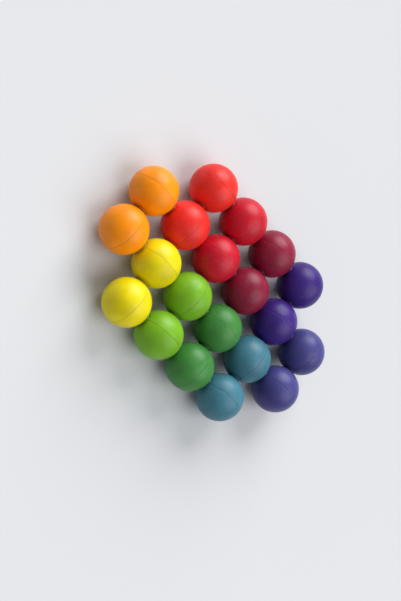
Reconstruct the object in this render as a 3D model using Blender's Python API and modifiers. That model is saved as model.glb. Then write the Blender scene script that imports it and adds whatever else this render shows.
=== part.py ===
"""Twisty snake puzzle: twenty hollow plastic balls, joined in a closed loop by snap-in swivel pins.

The loop lies flat on a table as four rows of four, six, six and four balls. Every ball turns the chain by
90 degrees. A ball is two half shells: the socket shell holds the pole bearing, where the pin of the ball
before it turns, and the cap shell closes it. Its own swivel pin is clamped between the two halves at their
seam and snaps into the pole bearing of the next ball. Each ball stands on one facet of its seam band.

In a ball's own frame +Z points to the ball before it, +X to the ball after it, and the seam is at Z = 0.
"""

import math

import bmesh
import bpy
from mathutils import Matrix, Vector

MM = 0.001

# Driving sizes
BALL_RADIUS = 16.5 * MM
BALL_PITCH = 33.4 * MM
WALL = 2.0 * MM
SEAM_GAP = 0.3 * MM

# Facets: around a ball, and from the seam to the pole on the outside of each half and on the inside of both
SIDES = 16
SOCKET_ROWS = 2
CAP_ROWS = 3
INSIDE_ROWS = 2

# The straight band outside, on each side of the seam: a ball stands on one of its facets
BAND_HEIGHT = 1.6 * MM

# The bearings: a raised pad around each hole, at the pole and at the seam
PAD_RADIUS = 5.8 * MM
PAD_FACE = 16.6 * MM
HUB_RADIUS = 6.0 * MM
HUB_SIDES = 12
HOLE_RADIUS = 3.1 * MM
BEARING_INNER_FACE = 13.4 * MM

# The pocket that clamps the pin's square anchor plate
POCKET_BACK = 11.1 * MM
POCKET_SIDE = 8.0 * MM
HUB_BACK = 9.6 * MM

# The swivel pin, which runs along +X from one ball into the next
PIN_SIDES = 10
PLATE_SIDE = 7.6 * MM
PLATE_THICKNESS = 1.9 * MM
PLATE_GAP = 0.2 * MM
NECK_RADIUS = 2.8 * MM
HEAD_RADIUS = 3.7 * MM
HEAD_TIP_RADIUS = 2.2 * MM
HEAD_LENGTH = 3.4 * MM
SLOT_WIDTH = 1.4 * MM
SLOT_LENGTH = 5.6 * MM

# How far a cutting tool runs past what it cuts
OVERRUN = 1.0 * MM

# Mesh clean-up: points this near each other are one, faces this near to level in degrees are one flat, and
# edges over the sharp angle stay crisp
MERGE_DISTANCE = 0.01 * MM
FLAT_ANGLE = 0.5
SHARP_ANGLE = 35

# The loop, seen from above: the compass direction from each ball to the next, with north along +Y
LOOP_WALK = "NENESENESESWSWNWSWNW"
COMPASS = {"N": Vector((0, 1, 0)), "E": Vector((1, 0, 0)), "S": Vector((0, -1, 0)), "W": Vector((-1, 0, 0))}
FIRST_BALL = (-2.5, -0.5)

# Plastic colours, two balls of each, in linear RGB
BALL_COLOURS = {
    "orange": (1.0, 0.34, 0.01),
    "scarlet": (0.72, 0.025, 0.015),
    "red": (0.55, 0.008, 0.025),
    "crimson": (0.25, 0.012, 0.04),
    "purple": (0.07, 0.02, 0.26),
    "indigo": (0.015, 0.015, 0.16),
    "teal": (0.01, 0.2, 0.22),
    "green": (0.05, 0.34, 0.06),
    "lime": (0.2, 0.46, 0.03),
    "yellow": (0.88, 0.72, 0.02),
}
PIN_COLOUR = (0.75, 0.74, 0.7)
BALL_ROUGHNESS = 0.38
PIN_ROUGHNESS = 0.5

CENTRE_HEIGHT = BALL_RADIUS * math.cos(math.pi / SIDES)


def clear_scene():
    for obj in list(bpy.data.objects):
        bpy.data.objects.remove(obj)


def new_collection(name):
    collection = bpy.data.collections.new(name)
    bpy.context.scene.collection.children.link(collection)
    return collection


def add_helper(name, mesh, collection):
    """A hidden object that only shapes others: a pattern or a cutting tool."""
    helper = bpy.data.objects.new(name, mesh)
    helper.hide_render = True
    helper.display_type = "WIRE"
    collection.objects.link(helper)
    return helper


def plastic(name, colour, roughness):
    material = bpy.data.materials.new(name)
    material.use_nodes = True
    shader = material.node_tree.nodes["Principled BSDF"]
    shader.inputs["Base Color"].default_value = (*colour, 1.0)
    shader.inputs["Roughness"].default_value = roughness
    shader.inputs["Metallic"].default_value = 0.0
    return material


def mesh_from(shape, name):
    """Turns a bmesh into a mesh."""
    mesh = bpy.data.meshes.new(name)
    shape.to_mesh(mesh)
    shape.free()
    return mesh


def turned(name, profile, steps, closed, collection):
    """A profile of (radius, height) points, turned around Z with a Screw modifier."""
    shape = bmesh.new()
    points = [shape.verts.new((radius, 0, height)) for radius, height in profile]
    for start, end in zip(points, points[1:]):
        shape.edges.new((start, end))
    if closed:
        shape.edges.new((points[-1], points[0]))
    obj = add_helper(name, mesh_from(shape, name), collection)
    screw = obj.modifiers.new("turn", "SCREW")
    screw.steps = steps
    screw.render_steps = steps
    screw.use_merge_vertices = True
    screw.merge_threshold = MERGE_DISTANCE
    return obj


def bar_along_x(name, start, end, width, height, collection):
    """A bar centred on the X axis."""
    shape = bmesh.new()
    size = Matrix.Diagonal((end - start, width, height, 1.0))
    place = Matrix.Translation(((start + end) / 2, 0, 0))
    bmesh.ops.create_cube(shape, size=1.0, matrix=place @ size)
    return add_helper(name, mesh_from(shape, name), collection)


def rod_along_x(shape, start, end, radius, sides):
    """Adds a rod centred on the X axis to a bmesh."""
    place = Matrix.Translation(((start + end) / 2, 0, 0)) @ Matrix.Rotation(math.pi / 2, 4, "Y")
    bmesh.ops.create_cone(
        shape, cap_ends=True, segments=sides, radius1=radius, radius2=radius, depth=end - start, matrix=place
    )


def rod_cutter(name, start, end, radius, collection):
    shape = bmesh.new()
    rod_along_x(shape, start, end, radius, HUB_SIDES)
    return add_helper(name, mesh_from(shape, name), collection)


def half_hub(name, side, collection):
    """Half of the solid hub around the pin, at the seam: side is 1 for the socket shell, -1 for the cap."""
    shape = bmesh.new()
    rod_along_x(shape, HUB_BACK, PAD_FACE, HUB_RADIUS, HUB_SIDES)
    cut = bmesh.ops.bisect_plane(
        shape,
        geom=shape.verts[:] + shape.edges[:] + shape.faces[:],
        plane_co=(0, 0, side * SEAM_GAP / 2),
        plane_no=(0, 0, -side),
        clear_outer=True,
    )
    rim = [item for item in cut["geom_cut"] if isinstance(item, bmesh.types.BMEdge)]
    bmesh.ops.edgenet_fill(shape, edges=rim)
    bmesh.ops.recalc_face_normals(shape, faces=shape.faces)
    return add_helper(name, mesh_from(shape, name), collection)


def boolean(obj, operation, tool):
    modifier = obj.modifiers.new(tool.name, "BOOLEAN")
    modifier.operation = operation
    modifier.solver = "EXACT"
    modifier.object = tool


def arc(radius, first, last, rows):
    """Points of a circle around the origin, from one latitude to another, in radians."""
    latitudes = [first + (last - first) * row / rows for row in range(rows + 1)]
    return [(radius * math.cos(angle), radius * math.sin(angle)) for angle in latitudes]


def socket_profile():
    """The half with the pole bearing, from the pad's face down the outside and back up the inside."""
    pad_foot = math.acos(PAD_RADIUS / BALL_RADIUS)
    band_top = math.asin(BAND_HEIGHT / BALL_RADIUS)
    inner_radius = BALL_RADIUS - WALL
    outside = arc(BALL_RADIUS, pad_foot, band_top, SOCKET_ROWS)[:-1]
    seam = [(BALL_RADIUS, BAND_HEIGHT), (BALL_RADIUS, SEAM_GAP / 2)]
    boss_foot = math.acos(HUB_RADIUS / inner_radius)
    inside = arc(inner_radius, math.asin(SEAM_GAP / 2 / inner_radius), boss_foot, INSIDE_ROWS)
    bearing = [(HOLE_RADIUS, BEARING_INNER_FACE), (HOLE_RADIUS, PAD_FACE), (PAD_RADIUS, PAD_FACE)]
    return outside + seam + inside + bearing


def cap_profile():
    """The plain half, from its inner pole up the inside and back down the outside."""
    inner_radius = BALL_RADIUS - WALL
    band_top = math.asin(BAND_HEIGHT / BALL_RADIUS)
    inside = arc(inner_radius, -math.pi / 2, -math.asin(SEAM_GAP / 2 / inner_radius), INSIDE_ROWS)
    seam = [(BALL_RADIUS, -SEAM_GAP / 2), (BALL_RADIUS, -BAND_HEIGHT)]
    outside = arc(BALL_RADIUS, -band_top, -math.pi / 2, CAP_ROWS)
    return [(0.0, -inner_radius)] + inside[1:] + seam + outside[1:-1] + [(0.0, -BALL_RADIUS)]


def pin_profile():
    """Half of the pin's round part, from the back of its neck to the tip of its snap head."""
    neck_start = BEARING_INNER_FACE - PLATE_GAP - PLATE_THICKNESS / 2
    shoulder = BALL_PITCH - BEARING_INNER_FACE + PLATE_GAP
    return [
        (0.0, shoulder + HEAD_LENGTH),
        (HEAD_TIP_RADIUS, shoulder + HEAD_LENGTH),
        (HEAD_RADIUS, shoulder),
        (NECK_RADIUS, shoulder),
        (NECK_RADIUS, neck_start),
        (0.0, neck_start),
    ]


def finished(pattern):
    """The mesh that a pattern's modifiers make, smooth on its round faces and sharp at its edges."""
    graph = bpy.context.evaluated_depsgraph_get()
    shape = bmesh.new()
    shape.from_object(pattern, graph)
    flat = math.radians(FLAT_ANGLE)
    bmesh.ops.dissolve_limit(shape, angle_limit=flat, verts=shape.verts, edges=shape.edges, delimit=set())
    bmesh.ops.triangulate(shape, faces=shape.faces)
    bmesh.ops.recalc_face_normals(shape, faces=shape.faces)
    mesh = mesh_from(shape, pattern.name.replace("pattern", "mesh"))
    mesh.polygons.foreach_set("use_smooth", [True] * len(mesh.polygons))
    mesh.set_sharp_from_angle(angle=math.radians(SHARP_ANGLE))
    mesh.materials.append(None)
    return mesh


def turn_half_facet(obj):
    """Rotates a turned shell so that flat facets, not edges, face its X and Y directions."""
    obj.data.transform(Matrix.Rotation(math.pi / SIDES, 4, "Z"))


def shell_meshes(tools):
    """The meshes of the socket shell and of the cap shell, which every ball shares."""
    socket = turned("pattern_socket_shell", socket_profile(), SIDES, True, tools)
    cap = turned("pattern_cap_shell", cap_profile(), SIDES, False, tools)
    pocket = bar_along_x(
        "cutter_pin_pocket", POCKET_BACK, BEARING_INNER_FACE, POCKET_SIDE, POCKET_SIDE, tools
    )
    bore = rod_cutter("cutter_pin_bore", POCKET_BACK + OVERRUN, PAD_FACE + OVERRUN, HOLE_RADIUS, tools)
    for obj in (socket, cap):
        turn_half_facet(obj)
    hubs = {socket: half_hub("hub_socket_side", 1, tools), cap: half_hub("hub_cap_side", -1, tools)}
    for obj, hub in hubs.items():
        boolean(obj, "UNION", hub)
        boolean(obj, "DIFFERENCE", pocket)
        boolean(obj, "DIFFERENCE", bore)
    return finished(socket), finished(cap)


def pin_mesh(tools):
    """The mesh of the swivel pin: a square anchor plate, a round neck and a slotted snap head."""
    pin = turned("pattern_swivel_pin", pin_profile(), PIN_SIDES, False, tools)
    pin.data.transform(Matrix.Rotation(math.pi / PIN_SIDES, 4, "Z"))
    pin.rotation_euler = (0, math.pi / 2, 0)
    plate_front = BEARING_INNER_FACE - PLATE_GAP
    plate_back = plate_front - PLATE_THICKNESS
    plate = bar_along_x("tool_anchor_plate", plate_back, plate_front, PLATE_SIDE, PLATE_SIDE, tools)
    head_tip = BALL_PITCH - BEARING_INNER_FACE + PLATE_GAP + HEAD_LENGTH
    slot_start = head_tip - SLOT_LENGTH
    slot_across = 2 * (HEAD_RADIUS + OVERRUN)
    slot = bar_along_x("cutter_head_slot", slot_start, head_tip + OVERRUN, slot_across, SLOT_WIDTH, tools)
    boolean(pin, "UNION", plate)
    boolean(pin, "DIFFERENCE", slot)
    mesh = finished(pin)
    mesh.transform(Matrix.Rotation(math.pi / 2, 4, "Y"))
    return mesh


def ball_names():
    return [f"{colour}_{letter}" for colour in BALL_COLOURS for letter in "ab"]


def ball_centres():
    """The centre of each ball, walking around the loop from the first one."""
    centre = Vector((FIRST_BALL[0] * BALL_PITCH, FIRST_BALL[1] * BALL_PITCH, CENTRE_HEIGHT))
    centres = []
    for step in LOOP_WALK:
        centres.append(centre.copy())
        centre += COMPASS[step] * BALL_PITCH
    return centres


def ball_rotation(index):
    """The rotation that points +Z to the ball before this one and +X to the ball after it."""
    to_next = COMPASS[LOOP_WALK[index]]
    to_previous = -COMPASS[LOOP_WALK[index - 1]]
    return Matrix((to_next, to_previous.cross(to_next), to_previous)).transposed()


def add_ball(name, centre, rotation, pieces, shell_material, pin_material, collection):
    """Places one ball: an empty at its centre, on its joint's axis, with the ball's three pieces under it."""
    pivot = bpy.data.objects.new(f"{name}_pivot", None)
    pivot.empty_display_size = BALL_RADIUS
    pivot.location = centre
    pivot.rotation_euler = rotation.to_euler()
    collection.objects.link(pivot)
    for piece, mesh in pieces.items():
        obj = bpy.data.objects.new(f"{name}_{piece}", mesh)
        obj.parent = pivot
        collection.objects.link(obj)
        obj.material_slots[0].link = "OBJECT"
        obj.material_slots[0].material = pin_material if piece == "swivel_pin" else shell_material


def build():
    clear_scene()
    parts = new_collection("twisty_snake_puzzle")
    tools = new_collection("cutters")
    socket_mesh, cap_mesh = shell_meshes(tools)
    pieces = {"socket_shell": socket_mesh, "cap_shell": cap_mesh, "swivel_pin": pin_mesh(tools)}
    pin_material = plastic("pin", PIN_COLOUR, PIN_ROUGHNESS)
    shells = {name: plastic(name, colour, BALL_ROUGHNESS) for name, colour in BALL_COLOURS.items()}
    for index, (name, centre) in enumerate(zip(ball_names(), ball_centres())):
        colour = name.rpartition("_")[0]
        add_ball(name, centre, ball_rotation(index), pieces, shells[colour], pin_material, parts)


build()
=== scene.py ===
"""The looks of the twisty snake puzzle: twenty satin plastic balls in a closed loop, on a pale studio floor.

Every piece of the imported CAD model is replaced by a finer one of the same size. A ball is two hollow half
shells with a rounded seam, a bearing pad at the pole of one half and a hub pad across the seam. A swivel pin
joins it to the next ball. The pieces are modelled once in a ball's own frame, where +Z points to the ball
before it, +X to the ball after it and the seam is at Z = 0. Each ball's place and turn are read from the CAD
pins in the frame.
"""

import math

import bmesh
import bpy
from mathutils import Matrix, Vector


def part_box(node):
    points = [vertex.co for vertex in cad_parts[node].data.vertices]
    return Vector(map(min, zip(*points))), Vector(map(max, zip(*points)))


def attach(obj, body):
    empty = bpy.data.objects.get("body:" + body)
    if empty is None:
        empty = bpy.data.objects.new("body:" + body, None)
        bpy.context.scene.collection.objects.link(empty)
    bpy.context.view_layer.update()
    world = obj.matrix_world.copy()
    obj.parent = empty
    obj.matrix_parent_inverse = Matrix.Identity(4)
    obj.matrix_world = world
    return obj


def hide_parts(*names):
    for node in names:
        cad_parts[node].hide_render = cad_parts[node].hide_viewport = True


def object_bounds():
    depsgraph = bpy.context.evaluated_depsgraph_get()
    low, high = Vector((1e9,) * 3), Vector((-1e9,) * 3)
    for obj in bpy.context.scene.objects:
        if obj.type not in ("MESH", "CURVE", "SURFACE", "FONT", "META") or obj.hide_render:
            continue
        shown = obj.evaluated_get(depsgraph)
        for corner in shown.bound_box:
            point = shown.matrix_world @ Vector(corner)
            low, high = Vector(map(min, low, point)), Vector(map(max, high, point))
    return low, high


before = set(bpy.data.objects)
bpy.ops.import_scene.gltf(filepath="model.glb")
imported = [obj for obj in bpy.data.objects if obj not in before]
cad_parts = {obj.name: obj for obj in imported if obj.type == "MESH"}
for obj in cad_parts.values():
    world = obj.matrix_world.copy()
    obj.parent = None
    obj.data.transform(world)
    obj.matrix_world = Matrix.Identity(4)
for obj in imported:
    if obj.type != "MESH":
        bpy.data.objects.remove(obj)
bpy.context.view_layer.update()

MM = 0.001

# The ball's two half shells
BALL_RADIUS = 16.5 * MM
BALL_PITCH = 33.4 * MM
INNER_RADIUS = 14.5 * MM
SEAM_GAP = 0.08 * MM
SEAM_ROUNDING = 0.12 * MM
SEAM_LATITUDE = math.asin((SEAM_GAP / 2 + SEAM_ROUNDING) / BALL_RADIUS)
INNER_SEAM_LATITUDE = math.asin(SEAM_GAP / 2 / INNER_RADIUS)
TURN_STEPS = 96
SOCKET_ROWS = 22
CAP_ROWS = 24
INSIDE_ROWS = 10
ROUNDING_ROWS = 4

# The bearing pad at the pole and the hub pad across the seam
PAD_RADIUS = 4.5 * MM
PAD_FACE = 16.6 * MM
PAD_ROUNDING = 0.4 * MM
PAD_FILLET = 0.6 * MM
PAD_FOOT_RADIUS = PAD_RADIUS + PAD_FILLET
HUB_RADIUS = 5.9 * MM
HUB_BACK = 9.6 * MM
HUB_STEPS = 64
HOLE_RADIUS = 3.1 * MM
HOLE_CHAMFER = 0.3 * MM
BEARING_INNER_FACE = 13.4 * MM
POCKET_BACK = 11.1 * MM
POCKET_SIDE = 8.0 * MM

# The swivel pin
PLATE_SIDE = 7.6 * MM
PLATE_THICKNESS = 1.9 * MM
PLATE_ROUNDING = 0.35 * MM
PLATE_ROUNDING_ROWS = 3
PIN_GAP = 0.2 * MM
NECK_RADIUS = 2.8 * MM
NECK_FILLET = 0.4 * MM
HEAD_RADIUS = 3.7 * MM
HEAD_TIP_RADIUS = 2.2 * MM
HEAD_LENGTH = 3.4 * MM
HEAD_ROUNDING = 0.3 * MM
HEAD_SLOPE = 20
SLOT_WIDTH = 1.4 * MM
SLOT_LENGTH = 5.6 * MM
SLOT_REACH = 3 * HEAD_RADIUS

# How far a cutting tool runs past what it cuts, and what counts as one point or a vanished edge in a mesh
OVERRUN = 1.0 * MM
MERGE_DISTANCE = 0.001 * MM
VANISHED_LENGTH = 0.0005 * MM
SHARP_ANGLE = 40

# Plastic colours in soft daylight, in sRGB from 0 to 255. The loop visits the shell colours in this order
SHELL_COLOURS = {
    "orange": (255, 146, 0),
    "scarlet": (232, 44, 34),
    "red": (196, 20, 42),
    "crimson": (136, 24, 54),
    "purple": (58, 32, 120),
    # Indigo and teal are lifted part way toward a grey haze: their own colour with a painted reflection mixed
    # in
    "indigo": (68, 66, 130),
    "teal": (66, 120, 138),
    "green": (64, 132, 60),
    "lime": (118, 176, 34),
    "yellow": (232, 214, 4),
}
PIN_COLOUR = (216, 213, 204)
SHELL_ROUGHNESS = 0.38
PIN_ROUGHNESS = 0.45
SHINE = 0.27

# The plastic's surface. A scale is in cells for each metre, a range holds the two noise values between which
# a feature fades in, and a height is a share of RELIEF_HEIGHT
BALL_SHIFT = 40.0
CLOUD_SCALE = 70.0
CLOUD_RANGE = (0.35, 0.65)
CLOUD_SHADE = 0.82
GRAIN_SCALE = 2600.0
GRAIN_HEIGHT = 0.35
FLOW_SCALE = 140.0
FLOW_STRETCH = (1.0, 1.0, 3.5)
FLOW_TURN = (0.3, 0.2, 0.0)
FLOW_RANGE = (0.3, 0.7)
FLOW_ROUGHNESS = (-0.05, 0.07)
FLOW_HEIGHT = 0.5
SCRATCH_STRETCH = (60.0, 900.0, 900.0)
SCRATCH_TURN = (0.5, 0.9, 0.4)
SCRATCH_RANGE = (0.66, 0.72)
SCRATCH_PALENESS = 0.12
SCRATCH_ROUGHNESS = 0.12
SCRATCH_HEIGHT = 0.25
SPECK_SCALE = 260.0
SPECK_RANGE = (0.05, 0.075)
SPECK_PALENESS = 0.3
PALE_LIMIT = 0.9
PALE_SHARE = 0.35
RELIEF_HEIGHT = 0.03 * MM
RELIEF_STRENGTH = 0.3

# Wear along the edges: how far it reaches, how much a rounded normal agrees with the real one where it starts
# and where it is full, the flow noise values between which it fades in, and its least and greatest share
WEAR_REACH = 0.9 * MM
WEAR_AGREEMENT = (0.97, 0.75)
WEAR_RANGE = (0.48, 0.62)
WEAR_SHARES = (0.02, 0.45)
WEAR_SAMPLES = 2

# Painted shade: the darker ring where a ball meets its neighbour, in degrees from the line through the two
# centres
PAINTED_SHADE_ATTRIBUTE = "painted_shade_depth"
SHADE_RING_DEEP = 16
SHADE_RING_OPEN = 25
PAINTED_CREVICE_SHADE = 0.42

# The camera, aimed as the photograph's was: it looks down on the flat loop, and the picture's up is a
# direction along the table. Compass angles are in degrees from +X towards +Y
CAMERA_COMPASS = -145.7
CAMERA_ELEVATION = 55.8
CAMERA_DISTANCE = 943 * MM
CAMERA_AIM = (-6.8 * MM, -12.0 * MM)
CAMERA_NEAREST = 50 * MM
CAMERA_LENS = 84.3
PICTURE_UP_COMPASS = 132.9

# The studio: two wide soft lights, far away, so that the floor is even in every view
FLOOR_SIZE = 12.0
FLOOR_COLOUR = (208, 209, 211)
FLOOR_SHADE = 0.96
FLOOR_CLOUD_SCALE = 3.0
FLOOR_GRAIN_SCALE = 900.0
FLOOR_RELIEF_HEIGHT = 0.1 * MM
FLOOR_RELIEF_STRENGTH = 0.1
KEY_DIRECTION = (-0.24, 0.88, 0.46)
KEY_STRENGTH = 3.4
KEY_WIDTH = 45
SIDE_DIRECTION = (0.55, 0.0, 0.85)
SIDE_STRENGTH = 1.9
SIDE_WIDTH = 60
WORLD_COLOUR = (0.92, 0.95, 1.0, 1.0)
AMBIENT_STRENGTH = 0.32
BACKDROP_STRENGTH = 0.85


# ------------------------------------------------------------------------------------ procedural materials


def linear(colour):
    """An sRGB colour from 0 to 255 as linear RGBA from 0 to 1."""
    shares = [channel / 255 for channel in colour]
    return (*[share / 12.92 if share < 0.04 else ((share + 0.055) / 1.055) ** 2.4 for share in shares], 1.0)


def darker(colour, shade):
    """A linear colour with each channel brought down to a share of itself."""
    return (*[channel * shade for channel in colour[:3]], 1.0)


def paler(colour):
    """A linear colour moved part of the way to near white, as scuffed plastic looks."""
    return (*[channel + PALE_SHARE * (PALE_LIMIT - channel) for channel in colour[:3]], 1.0)


class Nodes:
    """A material's node tree, with one short call for each node."""

    def __init__(self, name):
        self.material = bpy.data.materials.new(name)
        self.material.use_nodes = True
        self.tree = self.material.node_tree
        self.shader = self.tree.nodes["Principled BSDF"]

    def add(self, kind, inputs=None, **settings):
        node = self.tree.nodes.new(kind)
        for setting, value in settings.items():
            setattr(node, setting, value)
        for socket, value in (inputs or {}).items():
            self.put(node.inputs[socket], value)
        return node

    def put(self, socket, value):
        """Links an output to a socket, or sets a plain value on it."""
        if isinstance(value, bpy.types.NodeSocket):
            self.tree.links.new(value, socket)
        else:
            socket.default_value = value

    def maths(self, operation, first, second):
        return self.add("ShaderNodeMath", {0: first, 1: second}, operation=operation).outputs[0]

    def remap(self, value, source, target=(0.0, 1.0)):
        """A value moved from one range to another, and clamped there."""
        sockets = {"Value": value, "From Min": source[0], "From Max": source[1]}
        sockets |= {"To Min": target[0], "To Max": target[1]}
        return self.add("ShaderNodeMapRange", sockets).outputs["Result"]

    def position(self):
        return self.add("ShaderNodeTexCoord").outputs["Object"]

    def stretched(self, where, stretch, turn):
        """Coordinates drawn out along one turned direction."""
        return self.add("ShaderNodeMapping", {"Vector": where, "Rotation": turn, "Scale": stretch}).outputs[0]

    def noise(self, where, scale, detail=2.0):
        """Noise that differs from one piece to the next, because each object's random number shifts it."""
        shift = self.maths("MULTIPLY", self.add("ShaderNodeObjectInfo").outputs["Random"], BALL_SHIFT)
        sockets = {"Vector": where, "W": shift, "Scale": scale, "Detail": detail}
        return self.add("ShaderNodeTexNoise", sockets, noise_dimensions="4D").outputs["Fac"]

    def mix(self, share, first, second):
        """Two colours mixed by a share."""
        node = self.add("ShaderNodeMix", data_type="RGBA")
        self.put(node.inputs["Factor"], share)
        self.put(node.inputs[6], first)
        self.put(node.inputs[7], second)
        return node.outputs[2]

    def edges(self):
        """0 on smooth faces and up to 1 at edges, found by comparing the normal with a rounded one."""
        rounded = self.add("ShaderNodeBevel", {"Radius": WEAR_REACH}, samples=WEAR_SAMPLES).outputs[0]
        real = self.add("ShaderNodeNewGeometry").outputs["Normal"]
        agreement = self.add("ShaderNodeVectorMath", {0: rounded, 1: real}, operation="DOT_PRODUCT")
        return self.remap(agreement.outputs["Value"], WEAR_AGREEMENT)

    def relief(self, height, strength, distance):
        """Fine surface relief from a height."""
        bump = self.add("ShaderNodeBump", {"Strength": strength, "Distance": distance, "Height": height})
        self.put(self.shader.inputs["Normal"], bump.outputs[0])


def plastic_colour(nodes, where, colour, flow, scratches):
    """Faint cloudiness, specks, pale scratches, patches of pale wear at the edges and painted shade in the
    crevices.
    """
    # The depth of painted shade beside a neighbour's pad and in the seam, which also keeps the wear off there
    painted_shade_mask = nodes.add("ShaderNodeAttribute", attribute_name=PAINTED_SHADE_ATTRIBUTE).outputs["Fac"]
    open_edges = nodes.maths("MULTIPLY", nodes.edges(), nodes.maths("SUBTRACT", 1.0, painted_shade_mask))
    wear = nodes.maths("MULTIPLY", open_edges, nodes.remap(flow, WEAR_RANGE, WEAR_SHARES))
    cells = nodes.add("ShaderNodeTexVoronoi", {"Vector": where, "Scale": SPECK_SCALE}).outputs["Distance"]
    specks = nodes.remap(cells, SPECK_RANGE, (1.0, 0.0))
    clouds = nodes.remap(nodes.noise(where, CLOUD_SCALE), CLOUD_RANGE)

    mixed = nodes.mix(clouds, darker(colour, CLOUD_SHADE), colour)
    mixed = nodes.mix(nodes.maths("MULTIPLY", specks, SPECK_PALENESS), mixed, paler(colour))
    mixed = nodes.mix(nodes.maths("MULTIPLY", scratches, SCRATCH_PALENESS), mixed, paler(colour))
    mixed = nodes.mix(wear, mixed, paler(colour))
    # Painted shade: the colour is darkened beside a neighbour's pad and in the seam groove
    return nodes.mix(painted_shade_mask, mixed, darker(colour, PAINTED_CREVICE_SHADE))


def satin_plastic(name, colour, roughness):
    """Injection-moulded plastic with a fine texture and hairline scratches."""
    nodes = Nodes(name)
    where = nodes.position()
    flow = nodes.noise(nodes.stretched(where, FLOW_STRETCH, FLOW_TURN), FLOW_SCALE, detail=3.0)
    lines = nodes.noise(nodes.stretched(where, SCRATCH_STRETCH, SCRATCH_TURN), 1.0, detail=3.0)
    scratches = nodes.remap(lines, SCRATCH_RANGE)
    mixed = plastic_colour(nodes, where, linear(colour), flow, scratches)
    nodes.put(nodes.shader.inputs["Base Color"], mixed)

    mottled = nodes.remap(flow, FLOW_RANGE, [roughness + change for change in FLOW_ROUGHNESS])
    scratched = nodes.maths("ADD", mottled, nodes.maths("MULTIPLY", scratches, SCRATCH_ROUGHNESS))
    nodes.put(nodes.shader.inputs["Roughness"], scratched)
    nodes.shader.inputs["Specular IOR Level"].default_value = SHINE

    grain = nodes.maths("MULTIPLY", nodes.noise(where, GRAIN_SCALE, detail=1.0), GRAIN_HEIGHT)
    swells = nodes.maths("ADD", grain, nodes.maths("MULTIPLY", flow, FLOW_HEIGHT))
    height = nodes.maths("SUBTRACT", swells, nodes.maths("MULTIPLY", scratches, SCRATCH_HEIGHT))
    nodes.relief(height, RELIEF_STRENGTH, RELIEF_HEIGHT)
    return nodes.material


def studio_paint(name, colour):
    """The floor's matte, almost even paint."""
    nodes = Nodes(name)
    where = nodes.position()
    clouds = nodes.noise(where, FLOOR_CLOUD_SCALE)
    paint = linear(colour)
    nodes.put(nodes.shader.inputs["Base Color"], nodes.mix(clouds, darker(paint, FLOOR_SHADE), paint))
    nodes.shader.inputs["Roughness"].default_value = 1.0
    nodes.shader.inputs["Specular IOR Level"].default_value = 0.0
    nodes.relief(nodes.noise(where, FLOOR_GRAIN_SCALE), FLOOR_RELIEF_STRENGTH, FLOOR_RELIEF_HEIGHT)
    return nodes.material


# ------------------------------------------------------------------------------------------ mesh modelling


def arc(centre, radius, first, last, rows):
    """Points of a circle as (radius, height), from one angle to another in radians."""
    angles = [first + (last - first) * row / rows for row in range(rows + 1)]
    return [(centre[0] + radius * math.cos(a), centre[1] + radius * math.sin(a)) for a in angles]


def settled_mesh(name, shape):
    """A mesh from a bmesh, which is used up. Its points and faces are put in order of place, because some bmesh
    steps leave them in another order on each run, and a boolean's result depends on that order."""
    points = sorted(shape.verts, key=lambda point: tuple(point.co))
    numbers = {point: number for number, point in enumerate(points)}
    faces = []
    for face in shape.faces:
        corners = [numbers[point] for point in face.verts]
        first = corners.index(min(corners))
        faces.append(corners[first:] + corners[:first])
    mesh = bpy.data.meshes.new(name)
    mesh.from_pydata([point.co for point in points], [], sorted(faces))
    shape.free()
    return mesh


def mesh_object(name, shape):
    """An object made from a bmesh, which is used up."""
    bmesh.ops.recalc_face_normals(shape, faces=shape.faces)
    obj = bpy.data.objects.new(name, settled_mesh(name, shape))
    bpy.context.scene.collection.objects.link(obj)
    return obj


def turned(name, profile, steps, closed=False):
    """A profile of (radius, height) points spun around Z. An open profile starts and ends on the axis."""
    shape = bmesh.new()
    points = [shape.verts.new((radius, 0, height)) for radius, height in profile]
    edges = [shape.edges.new(pair) for pair in zip(points, points[1:])]
    if closed:
        edges.append(shape.edges.new((points[-1], points[0])))
    bmesh.ops.spin(shape, geom=points + edges, cent=(0, 0, 0), axis=(0, 0, 1), angle=math.tau, steps=steps)
    bmesh.ops.remove_doubles(shape, verts=shape.verts, dist=MERGE_DISTANCE)
    return mesh_object(name, shape)


def along_x(obj):
    """Lays a piece that was turned around Z along the X axis."""
    obj.data.transform(Matrix.Rotation(math.pi / 2, 4, "Y"))
    return obj


def bar_along_x(name, start, end, width, height, rounding=0.0):
    """A bar centred on the X axis, with rounded edges if a rounding is given."""
    shape = bmesh.new()
    size = Matrix.Diagonal((end - start, width, height, 1.0))
    bmesh.ops.create_cube(shape, size=1.0, matrix=Matrix.Translation(((start + end) / 2, 0, 0)) @ size)
    if rounding:
        bmesh.ops.bevel(
            shape,
            geom=shape.edges[:],
            offset=rounding,
            segments=PLATE_ROUNDING_ROWS,
            profile=0.5,
            affect="EDGES",
            clamp_overlap=True,
        )
    return mesh_object(name, shape)


def halved(obj, side):
    """Keeps the part of a closed piece on one side of the seam: 1 is the upper side and -1 the lower."""
    shape = bmesh.new()
    shape.from_mesh(obj.data)
    cut = bmesh.ops.bisect_plane(
        shape,
        geom=shape.verts[:] + shape.edges[:] + shape.faces[:],
        plane_co=(0, 0, side * SEAM_GAP / 2),
        plane_no=(0, 0, -side),
        clear_outer=True,
    )
    rim = [item for item in cut["geom_cut"] if isinstance(item, bmesh.types.BMEdge)]
    bmesh.ops.edgenet_fill(shape, edges=rim)
    bmesh.ops.recalc_face_normals(shape, faces=shape.faces)
    obj.data = settled_mesh(obj.name, shape)
    return obj


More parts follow.
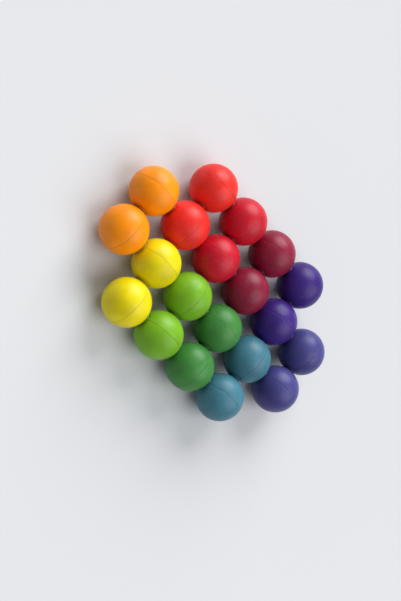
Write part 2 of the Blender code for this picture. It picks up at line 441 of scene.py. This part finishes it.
def combined(obj, *steps):
    """The mesh left after each (operation, tool) step on obj. The object and its tools are used up."""
    for operation, tool in steps:
        modifier = obj.modifiers.new(tool.name, "BOOLEAN")
        modifier.operation = operation
        modifier.solver = "EXACT"
        modifier.object = tool
    shape = bmesh.new()
    shape.from_object(obj, bpy.context.evaluated_depsgraph_get())
    bmesh.ops.dissolve_degenerate(shape, dist=VANISHED_LENGTH, edges=shape.edges)
    bmesh.ops.recalc_face_normals(shape, faces=shape.faces)
    mesh = settled_mesh(obj.name, shape)
    for used in [obj] + [tool for _, tool in steps]:
        bpy.data.objects.remove(used)
    mesh.polygons.foreach_set("use_smooth", [True] * len(mesh.polygons))
    mesh.set_sharp_from_angle(angle=math.radians(SHARP_ANGLE))
    mesh.materials.append(None)
    return mesh


def seam_edge():
    """The outside's rounding beside the seam of the upper half, from the ball's surface to the seam face."""
    centre = (BALL_RADIUS - SEAM_ROUNDING, SEAM_GAP / 2 + SEAM_ROUNDING)
    return arc(centre, SEAM_ROUNDING, 0.0, -math.pi / 2, ROUNDING_ROWS)


def pad_side():
    """A pad from the ball's surface up to its flat face: a fillet at the foot and a rounded rim."""
    foot_height = math.sqrt(BALL_RADIUS**2 - PAD_FOOT_RADIUS**2)
    fillet_centre = (PAD_FOOT_RADIUS, foot_height + PAD_FILLET)
    fillet = arc(fillet_centre, PAD_FILLET, -math.pi / 2, -math.pi, ROUNDING_ROWS)
    rim_centre = (PAD_RADIUS - PAD_ROUNDING, PAD_FACE - PAD_ROUNDING)
    return fillet + arc(rim_centre, PAD_ROUNDING, 0.0, math.pi / 2, ROUNDING_ROWS)


def socket_profile():
    """The half with the pole bearing: up the outside from the seam, in through the bore and back down."""
    pad_latitude = math.acos(PAD_FOOT_RADIUS / BALL_RADIUS)
    outside = arc((0, 0), BALL_RADIUS, SEAM_LATITUDE, pad_latitude, SOCKET_ROWS)[1:-1]
    bore = [
        (HOLE_RADIUS + HOLE_CHAMFER, PAD_FACE),
        (HOLE_RADIUS, PAD_FACE - HOLE_CHAMFER),
        (HOLE_RADIUS, BEARING_INNER_FACE + HOLE_CHAMFER),
        (HOLE_RADIUS + HOLE_CHAMFER, BEARING_INNER_FACE),
    ]
    boss_latitude = math.acos(HUB_RADIUS / INNER_RADIUS)
    inside = arc((0, 0), INNER_RADIUS, boss_latitude, INNER_SEAM_LATITUDE, INSIDE_ROWS)
    return seam_edge()[::-1] + outside + pad_side() + bore + inside


def cap_profile():
    """The plain half, drawn above the seam: from the inner pole down to the seam and up to the outer pole."""
    inside = arc((0, 0), INNER_RADIUS, math.pi / 2, INNER_SEAM_LATITUDE, INSIDE_ROWS)[1:]
    outside = arc((0, 0), BALL_RADIUS, SEAM_LATITUDE, math.pi / 2, CAP_ROWS)[1:-1]
    return [(0.0, INNER_RADIUS)] + inside + seam_edge()[::-1] + outside + [(0.0, BALL_RADIUS)]


def hub(name, side):
    """Half of the hub around the pin, which carries the pad across the seam."""
    back = [(0.0, HUB_BACK), (HUB_RADIUS, HUB_BACK), (HUB_RADIUS, INNER_RADIUS)]
    profile = back + [(PAD_FOOT_RADIUS, INNER_RADIUS)] + pad_side() + [(0.0, PAD_FACE)]
    return halved(along_x(turned(name, profile, HUB_STEPS)), side)


def pin_room(side):
    """What the pin needs cut out of the hub: the pocket of its anchor plate and the bore of its neck."""
    pocket = bar_along_x(f"pocket_{side}", POCKET_BACK, BEARING_INNER_FACE, POCKET_SIDE, POCKET_SIDE)
    bore_profile = [
        (0.0, POCKET_BACK + OVERRUN),
        (HOLE_RADIUS, POCKET_BACK + OVERRUN),
        (HOLE_RADIUS, PAD_FACE - HOLE_CHAMFER),
        (HOLE_RADIUS + HOLE_CHAMFER + OVERRUN, PAD_FACE + OVERRUN),
        (0.0, PAD_FACE + OVERRUN),
    ]
    return pocket, along_x(turned(f"bore_{side}", bore_profile, HUB_STEPS))


def painted_shade_depth(point):
    """How deep a point lies in the painted shade beside a neighbour's pad or in the seam, from 0 in the open to
    1. It eases in.
    """
    direction = point.normalized()
    angle = math.degrees(math.acos(min(1.0, max(direction.x, direction.z))))
    beside_neighbour = (SHADE_RING_OPEN - angle) / (SHADE_RING_OPEN - SHADE_RING_DEEP)
    in_seam = 1.0 - (abs(point.z) - SEAM_GAP / 2) / SEAM_ROUNDING
    return min(1.0, max(0.0, beside_neighbour, in_seam)) ** 2


def half_shell_mesh(name, side, profile, closed):
    """The mesh of one half shell, with its half of the hub, room for the pin and the depth of its painted shade
    marked.
    """
    shell = turned(name, profile, TURN_STEPS, closed)
    if side < 0:
        shell.data.transform(Matrix.Rotation(math.pi, 4, "X"))
    pocket, bore = pin_room(side)
    mesh = combined(shell, ("UNION", hub(f"hub_{side}", side)), ("DIFFERENCE", pocket), ("DIFFERENCE", bore))
    # Each point's depth of painted shade, which darkens its colour
    depths = mesh.attributes.new(PAINTED_SHADE_ATTRIBUTE, "FLOAT", "POINT")
    for vertex, depth in zip(mesh.vertices, depths.data):
        depth.value = painted_shade_depth(vertex.co)
    return mesh


def pin_profile(plate_front, shoulder, tip):
    """The round part of the pin: a filleted neck and a head that narrows to its tip."""
    root = plate_front - PLATE_THICKNESS / 2
    fillet_centre = (NECK_RADIUS + NECK_FILLET, plate_front + NECK_FILLET)
    rim_centre = (HEAD_RADIUS - HEAD_ROUNDING, shoulder + HEAD_ROUNDING)
    tip_centre = (HEAD_TIP_RADIUS - HEAD_ROUNDING, tip - HEAD_ROUNDING)
    profile = [(0.0, root), (NECK_RADIUS + NECK_FILLET, root)]
    profile += arc(fillet_centre, NECK_FILLET, -math.pi / 2, -math.pi, ROUNDING_ROWS)
    profile += [(NECK_RADIUS, shoulder)]
    profile += arc(rim_centre, HEAD_ROUNDING, -math.pi / 2, 0.0, ROUNDING_ROWS)
    profile += arc(tip_centre, HEAD_ROUNDING, math.radians(HEAD_SLOPE), math.pi / 2, ROUNDING_ROWS)
    return profile + [(0.0, tip)]


def pin_mesh():
    """The mesh of the swivel pin: a rounded square anchor plate, a round neck and a slotted snap head."""
    front = BEARING_INNER_FACE - PIN_GAP
    shoulder = BALL_PITCH - BEARING_INNER_FACE + PIN_GAP
    tip = shoulder + HEAD_LENGTH
    pin = along_x(turned("swivel_pin", pin_profile(front, shoulder, tip), HUB_STEPS))
    back = front - PLATE_THICKNESS
    plate = bar_along_x("anchor_plate", back, front, PLATE_SIDE, PLATE_SIDE, PLATE_ROUNDING)
    slot = bar_along_x("head_slot", tip - SLOT_LENGTH, tip + OVERRUN, SLOT_REACH, SLOT_WIDTH)
    return combined(pin, ("UNION", plate), ("DIFFERENCE", slot))


# ----------------------------------------------------------------------------------------------- the balls


def ball_names():
    return [f"{colour}_{letter}" for colour in SHELL_COLOURS for letter in "ab"]


def pin_middle_and_axis(ball):
    """The middle of a ball's CAD pin, and the number of the axis that the pin lies along."""
    low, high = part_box(f"{ball}_swivel_pin")
    size = high - low
    return (low + high) / 2, max(range(3), key=lambda axis: size[axis])


def ball_place(ball, previous):
    """A ball's frame. Its centre is where its own pin's line crosses the line of the pin that holds it."""
    own_middle, own_axis = pin_middle_and_axis(ball)
    holding_middle, holding_axis = pin_middle_and_axis(previous)
    centre = own_middle.copy()
    centre[own_axis] = holding_middle[own_axis]
    to_next = Vector((0, 0, 0))
    to_next[own_axis] = math.copysign(1.0, own_middle[own_axis] - centre[own_axis])
    to_previous = Vector((0, 0, 0))
    to_previous[holding_axis] = math.copysign(1.0, holding_middle[holding_axis] - centre[holding_axis])
    turn = Matrix((to_next, to_previous.cross(to_next), to_previous)).transposed().to_4x4()
    return Matrix.Translation(centre) @ turn


def add_piece(name, mesh, place, material, body, node):
    """One visible piece, riding on its body in place of its CAD node."""
    obj = bpy.data.objects.new(name, mesh)
    bpy.context.scene.collection.objects.link(obj)
    obj.matrix_world = place
    obj.material_slots[0].link = "OBJECT"
    obj.material_slots[0].material = material
    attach(obj, body)
    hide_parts(node)


def add_balls():
    plastics = {
        name: satin_plastic(f"{name}_plastic", colour, SHELL_ROUGHNESS)
        for name, colour in SHELL_COLOURS.items()
    }
    pin_plastic = satin_plastic("pin_plastic", PIN_COLOUR, PIN_ROUGHNESS)
    socket = half_shell_mesh("socket_half", 1, socket_profile(), True)
    cap = half_shell_mesh("cap_half", -1, cap_profile(), False)
    pin = pin_mesh()
    names = ball_names()
    for ball, previous in zip(names, names[-1:] + names[:-1]):
        place = ball_place(ball, previous)
        colour = ball.rpartition("_")[0]
        plastic = plastics[colour]
        body = f"ball_{ball}"
        add_piece(f"{ball}_socket_half", socket, place, plastic, body, f"{ball}_socket_shell")
        add_piece(f"{ball}_cap_half", cap, place, plastic, body, f"{ball}_cap_shell")
        add_piece(f"{ball}_pin", pin, place, pin_plastic, body, f"{ball}_swivel_pin")


# ---------------------------------------------------------------------------------------------- the studio


def add_floor(height):
    shape = bmesh.new()
    bmesh.ops.create_grid(shape, x_segments=2, y_segments=2, size=FLOOR_SIZE / 2)
    floor = mesh_object("studio_floor", shape)
    floor.location.z = height
    floor.data.materials.append(studio_paint("studio_paint", FLOOR_COLOUR))


def compass(degrees, elevation=0.0):
    """The direction at a compass angle along the table, raised by an elevation. Both are in degrees."""
    turn, lift = math.radians(degrees), math.radians(elevation)
    return Vector((math.cos(turn) * math.cos(lift), math.sin(turn) * math.cos(lift), math.sin(lift)))


def facing(back, up):
    """The rotation of a camera or lamp that looks against back, with its own up as near to up as can be."""
    right = up.cross(back).normalized()
    return Matrix((right, back.cross(right), back)).transposed().to_4x4()


def add_camera(aim):
    camera = bpy.data.objects.new("camera", bpy.data.cameras.new("camera"))
    bpy.context.scene.collection.objects.link(camera)
    camera.data.lens = CAMERA_LENS
    camera.data.clip_start = CAMERA_NEAREST
    back = compass(CAMERA_COMPASS, CAMERA_ELEVATION)
    place = Matrix.Translation(aim + back * CAMERA_DISTANCE)
    camera.matrix_world = place @ facing(back, compass(PICTURE_UP_COMPASS))
    bpy.context.scene.camera = camera


def add_soft_light(name, direction, strength, width):
    """A distant lamp that fills a disc of the sky, as wide as the given angle in degrees."""
    light = bpy.data.lights.new(name, "SUN")
    light.energy = strength
    light.angle = math.radians(width)
    lamp = bpy.data.objects.new(name, light)
    bpy.context.scene.collection.objects.link(lamp)
    lamp.matrix_world = facing(Vector(direction).normalized(), Vector((0, 0, 1)))


def set_glow(background, strength):
    background.inputs["Color"].default_value = WORLD_COLOUR
    background.inputs["Strength"].default_value = strength
    return background.outputs[0]


def add_world():
    """Even light from all round. The camera sees a paler backdrop than the light that reaches the scene."""
    world = bpy.data.worlds.new("studio")
    world.use_nodes = True
    nodes, links = world.node_tree.nodes, world.node_tree.links
    switch = nodes.new("ShaderNodeMixShader")
    links.new(nodes.new("ShaderNodeLightPath").outputs["Is Camera Ray"], switch.inputs[0])
    links.new(set_glow(nodes.new("ShaderNodeBackground"), AMBIENT_STRENGTH), switch.inputs[1])
    links.new(set_glow(nodes["Background"], BACKDROP_STRENGTH), switch.inputs[2])
    links.new(switch.outputs[0], nodes["World Output"].inputs["Surface"])
    bpy.context.scene.world = world


def add_studio():
    low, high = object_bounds()
    add_floor(low.z)
    add_camera(Vector((*CAMERA_AIM, (low.z + high.z) / 2)))
    add_soft_light("key_light", KEY_DIRECTION, KEY_STRENGTH, KEY_WIDTH)
    add_soft_light("side_light", SIDE_DIRECTION, SIDE_STRENGTH, SIDE_WIDTH)
    add_world()
    bpy.context.scene.view_settings.view_transform = "Standard"


add_balls()
add_studio()

bpy.context.view_layer.update()
